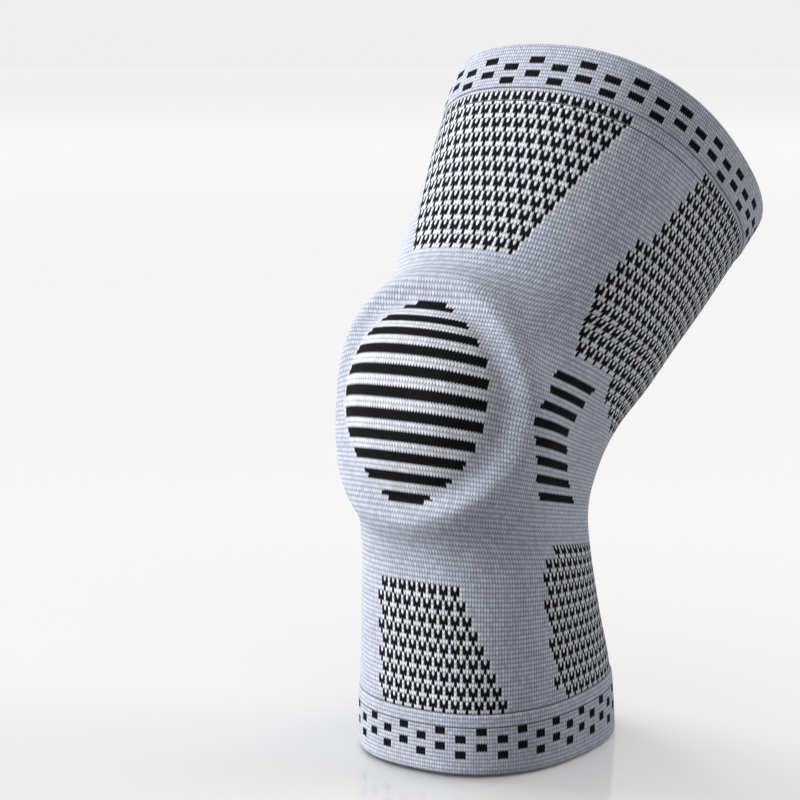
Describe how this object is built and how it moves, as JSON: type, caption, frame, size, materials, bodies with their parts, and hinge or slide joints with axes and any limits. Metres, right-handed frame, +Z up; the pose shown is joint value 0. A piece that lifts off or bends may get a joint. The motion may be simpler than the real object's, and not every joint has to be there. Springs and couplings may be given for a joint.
{
  "type": "knee sleeve",
  "caption": "Knitted compression knee sleeve in the shape of a bent leg, with two turned cuffs and an oval gel ring under the knit round the kneecap.",
  "frame": {"origin": "middle of the hollow at the height of the kneecap, where a leg passes through", "axes": "+Z up the shin towards the thigh, the kneecap faces -Y, X across the leg"},
  "size_m": [0.1368, 0.2365, 0.3016],
  "materials": {
    "body_knit": "3-D knit of light blue-grey heather yarn with black houndstooth, stripes and bars knitted in",
    "cuff_knit": "double-knit welt of the same yarn with small black squares",
    "gel": "moulded translucent silicone, satin"
  },
  "bodies": {
    "root": {"sleeve_body": "body_knit", "top_cuff": "cuff_knit", "bottom_cuff": "cuff_knit", "patella_pad": "gel"}
  },
  "joints": []
}
